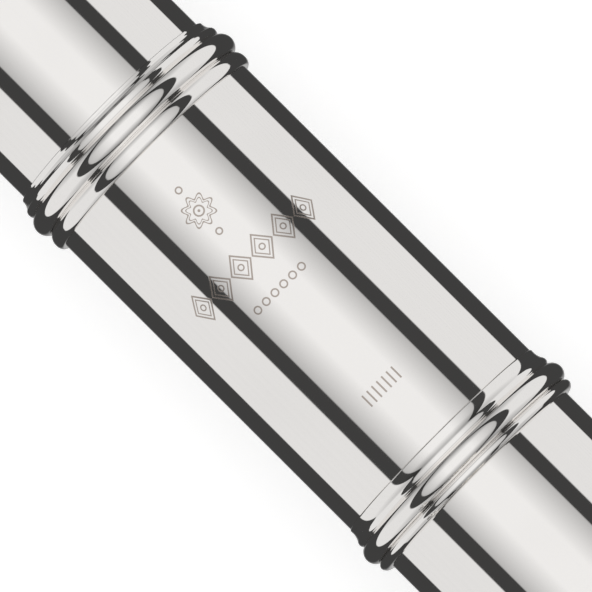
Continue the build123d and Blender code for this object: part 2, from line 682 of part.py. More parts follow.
with BuildPart() as d_trill_key:
    frame = hinge_frame(embouchure_x + d_trill_hole[0], 0.0)
    add_cup(frame, 0.0, d_trill_hole[1])
    add_bar(frame, 0.0, trill_cup_arm, 2.4)
    span = (-6.1, 442.9 - d_trill_hole[0])
    add_tube(frame, *span, -1, *trill, trill_tube_radius)
    add_bar(frame, 420.5 - d_trill_hole[0], trill_touch_arm, 2.2)
    add_touch(trill_touch(420.5), 8.2, 6.0, 1.3)
    bore_tube(frame, *span, -1, *trill)
save(d_trill_key.part, "d_trill_key")
pads(frame, [(0.0, d_trill_hole[1])], "d_trill_pad")

# Back keys: the thumb's B key and B flat lever share one steel, and the G sharp key has its own.
thumb_touch_out = 15.2
thumb_lever = [(hinge_offset - 0.8, hinge_height + 1.1), (hinge_offset - 2.6, thumb_touch_out + 0.9),
               (4.5, thumb_touch_out + 1.1), (4.5, thumb_touch_out + 0.2),
               (hinge_offset - 3.4, thumb_touch_out - 0.3), (hinge_offset - 1.4, hinge_height)]


def thumb_plate(frame, along, across):
    """Plane of a thumb touch, level with its key's cup."""
    return Plane(origin=frame.from_local_coords((along, across, thumb_touch_out)), x_dir=(1, 0, 0),
                 z_dir=frame.z_dir)


with BuildPart() as thumb_b_key:
    frame = hinge_frame(embouchure_x + thumb_hole[0], thumb_angle, 1, opening)
    add_cup(frame, 0.0, thumb_hole[1])
    add_bar(frame, 0.0, cup_arm(1, thumb_hole[1]))
    span = (thumb_posts[0] + inner - thumb_hole[0], 294.3 - thumb_hole[0])
    add_tube(frame, *span, 1)
    add_touch(thumb_plate(frame, 15.2, 1.5), 16.5, 10.0, 1.2)
    add_bar(frame, 18.4, thumb_lever)
    bore_tube(frame, *span, 1)
save(thumb_b_key.part, "thumb_b_key")
pads(frame, [(0.0, thumb_hole[1])], "thumb_b_pad")

with BuildPart() as thumb_b_flat_key:
    frame = hinge_frame(embouchure_x + 302.0, thumb_angle, 1, opening)
    span = (294.4 - 302.0, thumb_posts[1] - inner - 302.0)
    add_tube(frame, *span, 1)
    add_touch(thumb_plate(frame, -0.6, 2.4), 11.0, 7.6, 1.2)
    add_bar(frame, 0.0, thumb_lever)
    bore_tube(frame, *span, 1)
save(thumb_b_flat_key.part, "thumb_b_flat_key")

with BuildPart() as g_sharp_key:
    frame = hinge_frame(embouchure_x + g_sharp_hole[0], g_sharp_angle, -1)
    add_cup(frame, 0.0, g_sharp_hole[1])
    add_bar(frame, 0.0, cup_arm(-1, g_sharp_hole[1]))
    span = (g_sharp_posts[0] + inner - g_sharp_hole[0], g_sharp_posts[1] - inner - g_sharp_hole[0])
    add_tube(frame, *span, -1)
    lever = [(-hinge_offset - 0.9, hinge_height + 1.0), (-hinge_offset - 6.0, hinge_height - 0.8),
             (-hinge_offset - 8.4, hinge_height - 3.4), (-hinge_offset - 7.6, hinge_height - 4.2),
             (-hinge_offset - 5.2, hinge_height - 2.2), (-hinge_offset - 0.9, hinge_height - 1.0)]
    add_bar(frame, 24.0, lever, 3.0)
    tip = frame.from_local_coords((20.5, -hinge_offset - 7.0, hinge_height - 2.4))
    plate = Plane(origin=tip, x_dir=(1, 0, 0), z_dir=frame.z_dir.rotate(Axis.X, 45))
    add_touch(plate, 21.0, 7.0, 1.3)
    bore_tube(frame, *span, -1)
save(g_sharp_key.part, "g_sharp_key")
pads(frame, [(0.0, g_sharp_hole[1])], "g_sharp_pad")


# ---------------------------------------------------------------- foot keys
with BuildPart() as foot_d_sharp_key:
    frame = hinge_frame(embouchure_x + foot_d_sharp_hole[0], foot_angle)
    add_cup(frame, 0.0, foot_d_sharp_hole[1])
    add_bar(frame, 0.0, cup_arm(-1, foot_d_sharp_hole[1]))
    span = (foot_d_sharp_posts[0] + inner - foot_d_sharp_hole[0],
            foot_d_sharp_posts[1] - inner - foot_d_sharp_hole[0])
    add_tube(frame, *span, -1)
    paddle_arm = [(-hinge_offset - 0.4, hinge_height + 1.3), (-hinge_offset - 4.0, hinge_height + 3.2),
                  (-hinge_offset - 9.5, hinge_height + 3.4), (-hinge_offset - 9.5, hinge_height + 2.4),
                  (-hinge_offset - 4.4, hinge_height + 1.8), (-hinge_offset - 1.2, hinge_height - 0.4)]
    add_bar(frame, 0.6, paddle_arm, 3.0)
    paddle = Plane(origin=frame.from_local_coords((-1.8, -hinge_offset - 8.6, hinge_height + 2.4)),
                   x_dir=(1, 0, 0), z_dir=frame.z_dir)
    add_touch(paddle, 20.0, 10.6, 1.5)
    bore_tube(frame, *span, -1)
save(foot_d_sharp_key.part, "foot_d_sharp_key")
pads(frame, [(0.0, foot_d_sharp_hole[1])], "foot_d_sharp_pad")

roller_radius = 1.7
roller_length = 7.0
pin_radius = 0.6
cross_arm = [(hinge_offset - 0.2, hinge_height + 1.3), (hinge_offset - 2.6, 17.4), (0, 19.3), (-12.0, 18.6),
             (-16.2, 16.9), (-16.2, 15.7), (-12.0, 17.2), (0, 17.7), (hinge_offset - 3.6, 15.7),
             (hinge_offset - 1.5, hinge_height + 0.2)]


def roller_place(frame, distance):
    """Axis of a roller: across the tube, at the edge of its touch."""
    return Plane(origin=frame.from_local_coords((distance, -20.2, 16.0)), x_dir=(1, 0, 0), z_dir=frame.y_dir)


def add_roller_fork(frame, distance, first, last):
    """A touch plate between two lengthwise places, with cheeks that hold its roller's pin."""
    middle = (first + last) / 2
    plate = Plane(origin=frame.from_local_coords((middle, -20.2, 15.9)), x_dir=(1, 0, 0), z_dir=frame.z_dir)
    with BuildSketch(plate) as blade:
        RectangleRounded(abs(last - first), 10.6, 1.2)
    extrude(blade.sketch, amount=1.4)
    toward = 1 if distance > middle else -1
    near = last if toward > 0 else first
    for edge in (-4.55, 4.55):
        place = frame.from_local_coords(((near + distance) / 2, -20.2 + edge, 16.15))
        with Locations(Plane(origin=place, x_dir=(1, 0, 0), z_dir=frame.z_dir)):
            Box(abs(distance - near) + 2.0, 1.0, 2.0)
    with Locations(roller_place(frame, distance)):
        Cylinder(pin_radius, 9.4)


roller_c_sharp = 514.0
roller_c = 517.9
with BuildPart() as foot_c_sharp_key:
    frame = hinge_frame(embouchure_x + foot_d_hole[0], foot_angle, 1, opening)
    add_cup(frame, 0.0, foot_d_hole[1])
    add_bar(frame, 0.0, cup_arm(1, foot_d_hole[1]))
    span = (foot_stack_posts[0] + inner - foot_d_hole[0], 535.0 - foot_d_hole[0])
    add_tube(frame, *span, 1)
    add_bar(frame, 509.6 - foot_d_hole[0], cross_arm, 2.6)
    add_roller_fork(frame, roller_c_sharp - foot_d_hole[0], 505.4 - foot_d_hole[0], 511.8 - foot_d_hole[0])
    bore_tube(frame, *span, 1)
save(foot_c_sharp_key.part, "foot_c_sharp_key")
pads(frame, [(0.0, foot_d_hole[1])], "foot_c_sharp_pad")

with BuildPart() as c_sharp_roller:
    with Locations(roller_place(frame, roller_c_sharp - foot_d_hole[0])):
        Cylinder(roller_radius, roller_length)
        Cylinder(pin_radius + running_clearance, roller_length, mode=Mode.SUBTRACT)
    fillet(c_sharp_roller.edges().filter_by(GeomType.CIRCLE).filter_by(lambda e: e.radius > 1), radius=0.5)
save(c_sharp_roller.part, "c_sharp_roller")

with BuildPart() as foot_c_key:
    frame = hinge_frame(embouchure_x + foot_c_sharp_hole[0], foot_angle, 1, opening)
    add_cup(frame, 0.0, foot_c_sharp_hole[1])
    add_bar(frame, 0.0, cup_arm(1, foot_c_sharp_hole[1]))
    span = (535.1 - foot_c_sharp_hole[0], foot_stack_posts[1] - inner - foot_c_sharp_hole[0])
    add_tube(frame, *span, 1)
    add_bar(frame, 540.0 - foot_c_sharp_hole[0], cross_arm, 2.6)
    add_roller_fork(frame, roller_c - foot_c_sharp_hole[0], 520.1 - foot_c_sharp_hole[0],
                    541.3 - foot_c_sharp_hole[0])
    bore_tube(frame, *span, 1)
save(foot_c_key.part, "foot_c_key")
pads(frame, [(0.0, foot_c_sharp_hole[1])], "foot_c_pad")

with BuildPart() as c_roller:
    with Locations(roller_place(frame, roller_c - foot_c_sharp_hole[0])):
        Cylinder(roller_radius, roller_length)
        Cylinder(pin_radius + running_clearance, roller_length, mode=Mode.SUBTRACT)
    fillet(c_roller.edges().filter_by(GeomType.CIRCLE).filter_by(lambda e: e.radius > 1), radius=0.5)
save(c_roller.part, "c_roller")
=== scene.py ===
import json
from math import asin, atan, cos, degrees, pi, radians, sin, sqrt, tan

import bpy
from mathutils import Matrix, Vector

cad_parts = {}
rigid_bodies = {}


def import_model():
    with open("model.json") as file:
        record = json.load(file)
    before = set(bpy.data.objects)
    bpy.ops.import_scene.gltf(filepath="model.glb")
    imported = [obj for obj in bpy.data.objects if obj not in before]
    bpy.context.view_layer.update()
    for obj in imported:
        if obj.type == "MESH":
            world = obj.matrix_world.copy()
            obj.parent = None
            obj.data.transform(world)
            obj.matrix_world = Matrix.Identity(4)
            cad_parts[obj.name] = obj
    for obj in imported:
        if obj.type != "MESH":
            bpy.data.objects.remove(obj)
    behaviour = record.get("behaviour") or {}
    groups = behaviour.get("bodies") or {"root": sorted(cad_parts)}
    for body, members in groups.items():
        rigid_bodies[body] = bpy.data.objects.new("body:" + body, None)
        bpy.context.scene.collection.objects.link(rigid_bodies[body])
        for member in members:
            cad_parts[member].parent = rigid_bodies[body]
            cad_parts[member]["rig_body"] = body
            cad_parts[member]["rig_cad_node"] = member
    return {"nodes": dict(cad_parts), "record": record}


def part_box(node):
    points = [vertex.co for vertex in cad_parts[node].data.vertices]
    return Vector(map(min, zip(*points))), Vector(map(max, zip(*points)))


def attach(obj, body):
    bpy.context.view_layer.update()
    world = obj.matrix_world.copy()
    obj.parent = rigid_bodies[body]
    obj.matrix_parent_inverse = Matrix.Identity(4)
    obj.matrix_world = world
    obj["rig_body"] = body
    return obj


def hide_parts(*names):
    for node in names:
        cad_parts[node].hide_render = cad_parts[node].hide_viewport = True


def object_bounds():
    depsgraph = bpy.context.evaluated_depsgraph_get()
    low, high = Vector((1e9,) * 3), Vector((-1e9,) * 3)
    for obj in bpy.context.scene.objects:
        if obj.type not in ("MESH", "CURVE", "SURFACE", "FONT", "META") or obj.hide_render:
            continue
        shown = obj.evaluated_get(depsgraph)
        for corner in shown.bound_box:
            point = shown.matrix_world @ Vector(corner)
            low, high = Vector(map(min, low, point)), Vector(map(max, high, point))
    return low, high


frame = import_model()
cad_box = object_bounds()

# ---------------------------------------------------------------- camera
# The flute is looked at from straight above the barrel, leaning a little towards the foot, with a long lens.
# The tube runs from the upper left of the picture to the lower right.
barrel_low, barrel_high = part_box("barrel")
barrel_middle = Vector(((barrel_low.x + barrel_high.x) / 2, 0, 0))
lean = radians(4.4)
towards_camera = Vector((sin(lean), 0, cos(lean)))
picture_up = Vector((-1, 1, 0)).normalized()
picture_right = picture_up.cross(towards_camera).normalized()
picture_up = towards_camera.cross(picture_right).normalized()

camera = bpy.data.objects.new("camera", bpy.data.cameras.new("camera"))
bpy.context.scene.collection.objects.link(camera)
camera.data.lens = 674
camera.data.sensor_width = 36
camera.data.clip_start = 0.05
camera.data.clip_end = 100
place = Matrix((picture_right, picture_up, towards_camera)).transposed().to_4x4()
place.translation = barrel_middle + towards_camera * 0.895
camera.matrix_world = place
bpy.context.scene.camera = camera


# ---------------------------------------------------------------- how the shaders are written
class Value:
    """A number or colour on its way through a node tree, so that shader sums are written as sums."""

    def __init__(self, tree, socket):
        self.tree = tree
        self.socket = socket

    def math(self, operation, *others, **settings):
        return make(self.tree, "ShaderNodeMath", [self, *others], operation=operation, **settings)

    def __add__(self, other):
        return self.math("ADD", other)

    def __sub__(self, other):
        return self.math("SUBTRACT", other)

    def __rsub__(self, other):
        return make(self.tree, "ShaderNodeMath", [other, self], operation="SUBTRACT")

    def __mul__(self, other):
        return self.math("MULTIPLY", other)

    def __truediv__(self, other):
        return self.math("DIVIDE", other)

    def __pow__(self, other):
        return self.math("POWER", other)

    def __gt__(self, other):
        return self.math("GREATER_THAN", other)

    def __lt__(self, other):
        return self.math("LESS_THAN", other)

    def __abs__(self):
        return self.math("ABSOLUTE")

    def step(self, low, high):
        """0 below low, 1 above high, and a smooth rise between; low may be the larger."""
        return make(self.tree, "ShaderNodeMapRange", {"Value": self, "From Min": low, "From Max": high},
                    interpolation_type="SMOOTHSTEP")

    __radd__ = __add__
    __rmul__ = __mul__


def make(tree, kind, inputs=(), output=0, **settings):
    """Adds a node: its settings first, then its sockets, by name or in order, from numbers, colours or Values."""
    node = tree.nodes.new(kind)
    for name, value in settings.items():
        setattr(node, name, value)
    pairs = inputs.items() if isinstance(inputs, dict) else enumerate(inputs)
    for key, value in pairs:
        socket = node.inputs[key]
        if isinstance(value, Value):
            tree.links.new(value.socket, socket)
        else:
            socket.default_value = value
    return Value(tree, node.outputs[output])


def blend_colour(tree, factor, first, second):
    """A mix of two colours."""
    node = tree.nodes.new("ShaderNodeMix")
    node.data_type = "RGBA"
    for socket, value in ((node.inputs[0], factor), (node.inputs[6], first), (node.inputs[7], second)):
        if isinstance(value, Value):
            tree.links.new(value.socket, socket)
        else:
            socket.default_value = value
    return Value(tree, node.outputs[2])


def colour(red, green, blue):
    return (red, green, blue, 1.0)


def ramp(tree, value, stops):
    """A colour read off a scale: each stop is a place on it and the colour there."""
    low = stops[0][0]
    high = stops[-1][0]
    node = tree.nodes.new("ShaderNodeValToRGB")
    scale = node.color_ramp
    for place, _ in stops[1:-1]:
        scale.elements.new((place - low) / (high - low))
    scale.elements[0].position = 0.0
    scale.elements[-1].position = 1.0
    for element, (place, paint) in zip(scale.elements, stops):
        element.color = colour(*paint)
    tree.links.new(((value - low) / (high - low)).socket, node.inputs[0])
    return Value(tree, node.outputs[0])


# ---------------------------------------------------------------- studio light
# Polished silver shows what stands round it: a wide soft box overhead that fades at its edges, a black gap on
# each side of it, white walls beyond, and a dark floor below. The camera itself sees the room as white.
world = bpy.data.worlds.new("studio")
bpy.context.scene.world = world
world.use_nodes = True
room = world.node_tree
room.nodes.clear()
direction = make(room, "ShaderNodeTexCoord")
along, across, upward = [make(room, "ShaderNodeSeparateXYZ", [direction], output=i) for i in range(3)]
side = across.math("ARCTAN2", upward) * (180 / pi)
end = along.math("ARCSINE") * (180 / pi)

# A plain studio, the same on both sides: a soft box, a dark gap, a white wall and a dark floor, as shares of
# full white by degrees from straight up.
round_the_room = [
    (angle, (level, level, level)) for angle, level in (
        (0, 0.9), (15, 0.9), (44, 0.5), (45, 0.05), (60, 0.05), (61, 0.8), (120, 0.8), (121, 0.05), (165, 0.05),
        (180, 0.5))]
# It dims evenly towards both ends of the room.
along_the_room = [(angle, (level, level, level)) for angle, level in ((-90, 0.2), (-30, 1.0), (30, 1.0), (90, 0.2))]


def rippled(tree, value, scale, strength):
    """Faint uneven stripes that follow one measure of the room."""
    row = make(tree, "ShaderNodeCombineXYZ", [value * scale, 0.0, 0.0])
    wave = make(tree, "ShaderNodeTexNoise", {"Vector": row, "Scale": 1.0, "Detail": 3.0})
    return (wave - 0.5) * strength + 1.0


round_light = ramp(room, abs(side), round_the_room)
end_light = ramp(room, end, along_the_room)
product = make(room, "ShaderNodeVectorMath", [round_light, end_light], operation="MULTIPLY")
in_wall = abs(side).step(66, 74)
striped = make(room, "ShaderNodeVectorMath", {"Vector": product, "Scale": rippled(room, side, 0.55, 0.16) * in_wall
                                              + (1.0 - in_wall)}, operation="SCALE")
camera_ray = make(room, "ShaderNodeLightPath", output=0)
diffuse_ray = make(room, "ShaderNodeLightPath", output=2)
plain = blend_colour(room, camera_ray.math("MAXIMUM", diffuse_ray), striped, colour(0.97, 0.97, 0.97))
background = make(room, "ShaderNodeBackground", {"Color": plain, "Strength": 1.0})
sky = room.nodes.new("ShaderNodeOutputWorld")
room.links.new(background.socket, sky.inputs["Surface"])

# A pale table under the lowest key, which the silver doesn't mirror.
bpy.ops.object.select_all(action="DESELECT")
table_gap = 0.0002
bpy.ops.mesh.primitive_plane_add(size=6, location=(barrel_middle.x, 0, cad_box[0][2] - table_gap))
table = bpy.context.object
table.name = "table"
table.visible_glossy = False
white = bpy.data.materials.new("white_table")
white.use_nodes = True
tree = white.node_tree
tree.nodes.clear()
matt = make(tree, "ShaderNodeBsdfDiffuse", {"Color": colour(0.9, 0.9, 0.9)})
shine = make(tree, "ShaderNodeEmission", {"Color": colour(1, 1, 1), "Strength": 0.42})
both = make(tree, "ShaderNodeAddShader", [matt, shine])
out = tree.nodes.new("ShaderNodeOutputMaterial")
tree.links.new(both.socket, out.inputs["Surface"])
table.data.materials.append(white)
bpy.context.scene.view_settings.view_transform = "Standard"

# ---------------------------------------------------------------- barrel and its two rings
# The barrel is a drawn sleeve of silver-plated nickel silver, with a turned and moulded ring soldered on
# at each end. It is buffed to a mirror, so only faint wipe marks along the tube break the reflections.
socket_bore = 0.00992
lathe_steps = 360


def silver(name, tint, roughness, haze, grain=(60, 2600, 2600), engraving=None):
    """Buffed silver plate: a clear mirror with fine streaks along the tube and a little uneven haze."""
    material = bpy.data.materials.new(name)
    material.use_nodes = True
    tree = material.node_tree
    tree.nodes.clear()
    place = make(tree, "ShaderNodeTexCoord", output=3)
    streaks = make(tree, "ShaderNodeMapping", {"Vector": place, "Scale": grain})
    wipe = make(tree, "ShaderNodeTexNoise", {"Vector": streaks, "Scale": 1.0, "Detail": 4.0})
    cloud = make(tree, "ShaderNodeTexNoise", {"Vector": place, "Scale": 90.0, "Detail": 3.0})
    streak = wipe.step(0.60, 0.78)
    bloom = cloud.step(0.45, 0.75)
    base = blend_colour(tree, bloom * 0.5 + streak * 0.3, colour(*tint), colour(*[c * 0.965 for c in tint]))
    rough = roughness + haze * bloom + haze * 1.3 * streak
    height = wipe
    strength = 0.015
    if engraving:
        cut = engraving(tree, place)
        base = blend_colour(tree, cut * 0.85, base, colour(0.40, 0.335, 0.29))
        rough = rough + cut * 0.25
        height = wipe - cut * 6.0
        strength = 0.02
    bump = make(tree, "ShaderNodeBump", {"Strength": strength, "Distance": 0.00002, "Height": height})
    shader = make(tree, "ShaderNodeBsdfPrincipled",
                  {"Base Color": base, "Metallic": 1.0, "Roughness": rough, "Normal": bump})
    out = tree.nodes.new("ShaderNodeOutputMaterial")
    tree.links.new(shader.socket, out.inputs["Surface"])
    return material


tube_silver = silver("tube_silver", (0.945, 0.925, 0.905), 0.035, 0.02)


def clear_selection():
    if bpy.context.object and bpy.context.object.mode != "OBJECT":
        bpy.ops.object.mode_set(mode="OBJECT")
    bpy.ops.object.select_all(action="DESELECT")


def choose(piece):
    """Makes one piece the only selected and active one."""
    clear_selection()
    bpy.context.view_layer.objects.active = piece
    piece.select_set(True)


def turn(name, outline, steps=lathe_steps, smooth=30):
    """Turns a closed outline of (along, radius) points about the tube's axis, as on a lathe."""
    mesh = bpy.data.meshes.new(name)
    points = [(x, 0, r) for x, r in outline]
    edges = [(i, (i + 1) % len(points)) for i in range(len(points))]
    mesh.from_pydata(points, edges, [])
    piece = bpy.data.objects.new(name, mesh)
    bpy.context.scene.collection.objects.link(piece)
    choose(piece)
    bpy.ops.object.mode_set(mode="EDIT")
    bpy.ops.mesh.select_all(action="SELECT")
    bpy.ops.mesh.spin(steps=steps, angle=2 * pi, center=(0, 0, 0), axis=(1, 0, 0))
    bpy.ops.mesh.select_all(action="SELECT")
    bpy.ops.mesh.remove_doubles(threshold=1e-7)
    bpy.ops.mesh.normals_make_consistent(inside=False)
    bpy.ops.object.mode_set(mode="OBJECT")
    bpy.ops.object.shade_smooth_by_angle(angle=radians(smooth))
    return piece


def finish_piece(piece, material, body, slot, *nodes):
    """Gives a piece its material, parents it to the body it rides on, and hides the solids it stands in for."""
    piece.data.materials.clear()
    piece.data.materials.append(material)
    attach(piece, body)
    if nodes:
        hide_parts(*nodes)


def arc(start, peak, end, steps=10):
    """Points on the circle through three (along, radius) points, in millimetres, leaving out the last."""
    ax, ay = start
    bx, by = peak
    cx, cy = end
    twice = 2 * (ax * (by - cy) + bx * (cy - ay) + cx * (ay - by))
    ux = ((ax**2 + ay**2) * (by - cy) + (bx**2 + by**2) * (cy - ay) + (cx**2 + cy**2) * (ay - by)) / twice
    uy = ((ax**2 + ay**2) * (cx - bx) + (bx**2 + by**2) * (ax - cx) + (cx**2 + cy**2) * (bx - ax)) / twice
    centre = Vector((ux, uy))
    first = Vector(start) - centre
    sweep = first.angle_signed(Vector(peak) - centre) + (Vector(peak) - centre).angle_signed(Vector(end) - centre)
    return [tuple(centre + Matrix.Rotation(-sweep * i / steps, 2) @ first) for i in range(steps)]


def millimetres(start, points):
    """Outline points, from millimetres along a ring and from the axis, to metres in the frame."""
    return [(start + x / 1000, r / 1000) for x, r in points]


head_ring_low, head_ring_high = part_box("head_ring")
body_ring_low, body_ring_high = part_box("body_ring")
waist_start = head_ring_high.x
waist_end = body_ring_low.x
ring_seat = 10.05
sleeve_radius = barrel_high.z
seam = 0.00003


def ornament(tree, place):
    """Cut lines on the barrel: a rosette between two rings, a row of lozenges, a row of rings and a row of ticks."""
    x, y, z = [make(tree, "ShaderNodeSeparateXYZ", [place], output=i) for i in range(3)]
    run = (x - barrel_low.x) * 1000
    girth = y.math("ARCTAN2", z) * (sleeve_radius * 1000)
    line = 0.07

    def stroke(distance, width=line):
        """1 where a distance is near 0, with a soft edge."""
        return abs(distance).step(width + 0.018, width - 0.018)

    def from_point(run_at, girth_at):
        return ((run - run_at) ** 2 + (girth - girth_at) ** 2) ** 0.5

    def repeated(middle, pitch):
        """Distance across from the middle of the nearest repeat."""
        return ((girth - middle) / pitch).math("FRACT") * pitch - pitch / 2

    rosette_at = (11.5, -0.65)
    reach = from_point(*rosette_at)
    bearing = (girth - rosette_at[1]).math("ARCTAN2", run - rosette_at[0])
    petals = (bearing * 8).math("COSINE") * 0.22 + 1.18
    lines = [stroke(reach - petals), stroke(reach - petals * 0.76, 0.05), stroke(reach - 0.42), stroke(reach, 0.12)]
    lines += [stroke(from_point(rosette_at[0] + shift, rosette_at[1]) - 0.26, 0.065) for shift in (-2.3, 2.3)]

    row_run, row_middle, lozenge_pitch, lozenge_count = 17.1, -0.3, 2.4, 6
    near_row = abs(girth - row_middle) < lozenge_pitch * lozenge_count / 2
    sideways = repeated(row_middle, lozenge_pitch)
    lozenge = abs(run - row_run) / 1.45 + abs(sideways) / (lozenge_pitch / 2)
    centre_ring = ((run - row_run) ** 2 + sideways ** 2) ** 0.5
    lines += [stroke(lozenge - 0.90, 0.075) * near_row, stroke(lozenge - 0.62, 0.055) * near_row,
              stroke(centre_ring - 0.24, 0.06) * near_row]

    ring_run, ring_middle, ring_pitch, ring_count = 20.45, -0.5, 1.0, 6
    near_rings = abs(girth - ring_middle) < ring_pitch * ring_count / 2
    small_ring = ((run - ring_run) ** 2 + repeated(ring_middle, ring_pitch) ** 2) ** 0.5
    lines += [stroke(small_ring - 0.3, 0.065) * near_rings]

    tick_run, tick_middle, tick_pitch, tick_count = 31.8, -0.3, 0.55, 7
    near_ticks = (abs(girth - tick_middle) < tick_pitch * tick_count / 2) * (abs(run - tick_run) < 0.6)
    lines += [stroke(repeated(tick_middle + tick_pitch * (tick_count % 2) / 2, tick_pitch), 0.075) * near_ticks]
    cut = lines[0]
    for other in lines[1:]:
        cut = cut.math("MAXIMUM", other)
    return cut * (z > 0.0)


barrel_piece = turn("barrel_sleeve", [
    (barrel_low.x, socket_bore), (barrel_low.x, ring_seat / 1000), (waist_start, ring_seat / 1000),
    (waist_start, sleeve_radius - seam), (waist_start + seam, sleeve_radius),
    (waist_end - seam, sleeve_radius), (waist_end, sleeve_radius - seam), (waist_end, ring_seat / 1000),
    (barrel_high.x, ring_seat / 1000), (barrel_high.x, 0.00989), (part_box("body_tube")[0].x, 0.00989),
    (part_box("body_tube")[0].x, socket_bore)])
barrel_silver = silver("barrel_silver", (0.945, 0.925, 0.905), 0.035, 0.02, engraving=ornament)
finish_piece(barrel_piece, barrel_silver, "body", "polished_silver", "barrel")

# From the head joint's side: a finely reeded hollow that climbs to a small bead, a large bead, a groove and a
# quarter round beside the barrel.
def reeded(points, reeds, depth):
    """Fine turned lines along a part of an outline."""
    return [(x, r + depth * sin(2 * pi * reeds * i / len(points))) for i, (x, r) in enumerate(points)]


head_moulding = ([(0, ring_seat), (0, 10.17)] + reeded(arc((0.03, 10.20), (0.51, 10.30), (0.92, 10.60), 60), 4, 0.004)
                 + [(0.92, 10.60), (0.98, 10.622)]
                 + reeded(arc((1.00, 10.625), (1.31, 10.62), (1.57, 10.44), 30), 2, 0.003)
                 + arc((1.57, 10.44), (2.60, 11.10), (3.50, 10.48), 30)
                 + [(3.50, 10.48), (3.508, 10.30), (3.542, 10.30)]
                 + arc((3.55, 10.42), (3.90, 10.70), (4.40, 10.81), 18)
                 + arc((4.40, 10.81), (4.74, 10.76), (4.98, 10.62), 12)
                 + [(4.98, 10.62), (5.03, 10.55), (5.05, 10.48), (5.05, ring_seat)])
head_ring_piece = turn("head_ring_moulding", millimetres(head_ring_low.x, head_moulding))
finish_piece(head_ring_piece, tube_silver, "body", "polished_silver", "head_ring")


def body_moulding():
    """From the barrel: a low cushion, small bead, large bead, groove and a quarter round down to the tube."""
    return ([(0, ring_seat), (0, 10.21), (0.07, 10.30), (0.11, 10.32)]
            + arc((0.12, 10.32), (0.75, 10.365), (1.17, 10.56), 14)
            + [(1.17, 10.56), (1.23, 10.585)]
            + arc((1.25, 10.59), (1.52, 10.60), (1.76, 10.44), 14)
            + arc((1.76, 10.44), (2.66, 11.07), (3.58, 10.44), 30)
            + [(3.58, 10.44), (3.588, 10.28), (3.622, 10.28)]
            + arc((3.63, 10.48), (3.95, 10.71), (4.26, 10.60), 14)
            + arc((4.26, 10.60), (4.44, 10.42), (4.52, 10.16), 8)
            + [(4.52, 10.16), (4.55, 10.10), (4.55, ring_seat)])


body_ring_piece = turn("body_ring_moulding", millimetres(body_ring_low.x, body_moulding()))
finish_piece(body_ring_piece, tube_silver, "body", "polished_silver", "body_ring")

# ---------------------------------------------------------------- head joint
# A drawn tube that narrows towards the embouchure. The embouchure hole is cut through its wall, the riser and
# the lip plate are soldered over it, and the crown closes its end.
head_low, head_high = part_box("head_tube")
plate_low, plate_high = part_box("lip_plate")
tube_outer = 0.00988
tube_inner = 0.0095
tube_wall = tube_outer - tube_inner
embouchure_x = (plate_low.x + plate_high.x) / 2
taper_length = 0.1
embouchure_half_length = 0.0061
embouchure_half_width = 0.0052


def head_bore(x):
    """The head joint's bore, from the body's bore to the embouchure and then nearly straight."""
    if x >= embouchure_x + taper_length:
        return tube_inner
    if x <= embouchure_x:
        return 0.0085 - 0.003 * (embouchure_x - x)
    return tube_inner - 0.001 * ((embouchure_x + taper_length - x) / taper_length) ** 1.6


def cut(piece, cutter, operation="DIFFERENCE"):
    """Cuts one solid with another, which is used up."""
    choose(piece)
    tool = piece.modifiers.new("cut", "BOOLEAN")
    tool.object = cutter
    tool.operation = operation
    tool.solver = "EXACT"
    bpy.ops.object.modifier_apply(modifier=tool.name)
    bpy.data.objects.remove(cutter)


def smooth_again(piece, smooth=30):
    choose(piece)
    bpy.ops.object.shade_smooth_by_angle(angle=radians(smooth))


stations = [head_low.x + (head_high.x - head_low.x) * i / 60 for i in range(61)]
head_piece = turn("head_joint_tube", [(x, head_bore(x) + tube_wall) for x in stations]
                  + [(x, head_bore(x)) for x in reversed(stations)])
bpy.ops.mesh.primitive_cylinder_add(vertices=160, radius=1, depth=0.02, location=(embouchure_x, 0, 0.014))
hole_cutter = bpy.context.object
hole_cutter.scale = (embouchure_half_length, embouchure_half_width, 1)
choose(hole_cutter)
bpy.ops.object.transform_apply(location=True, rotation=True, scale=True)
cut(head_piece, hole_cutter)
smooth_again(head_piece)
finish_piece(head_piece, tube_silver, "head", "polished_silver", "head_tube")

# The crown is turned, with a domed end and a plain waist for the fingers.
crown_low, crown_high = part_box("crown")
crown_face = head_low.x * 1000 - 0.1
crown_end = crown_low.x * 1000
plug_radius = head_bore(head_low.x) * 1000 - 0.1
crown_side = 9.35
waist_radius = 8.9
screw_hole = 2.0
crown_points = [(crown_face + 5, screw_hole), (crown_face + 5, plug_radius), (crown_face, plug_radius),
                (crown_face, crown_side - 0.12), (crown_face - 0.12, crown_side), (crown_face - 1.5, crown_side),
                (crown_face - 1.75, crown_side - 0.2), (crown_face - 2.0, waist_radius),
                (crown_face - 6.6, waist_radius), (crown_face - 6.9, crown_side - 0.15)]
crown_points += arc((crown_face - 7.2, crown_side), (crown_face - 9.2, crown_side - 0.6),
                    (crown_end + 1.7, 7.4), 16)
crown_points += arc((crown_end + 1.7, 7.4), (crown_end + 0.43, 3.8), (crown_end, 0.0), 24)
crown_points += [(crown_end, 0.0), (crown_face - 6, 0.0), (crown_face - 6, screw_hole)]
crown_piece = turn("crown_turned", millimetres(0, crown_points), 192)
finish_piece(crown_piece, tube_silver, "crown", "polished_silver", "crown")

# ---------------------------------------------------------------- body and foot tubes
# Seamless drawn tubes of nickel silver. Each tone hole is drawn up out of the wall into a chimney, and its rim
# is rolled over into a bead that the pad closes on.
hole_wall = 0.4
rim_bead = 0.34
rim_height = 12.1
lowest_wall = 5.9
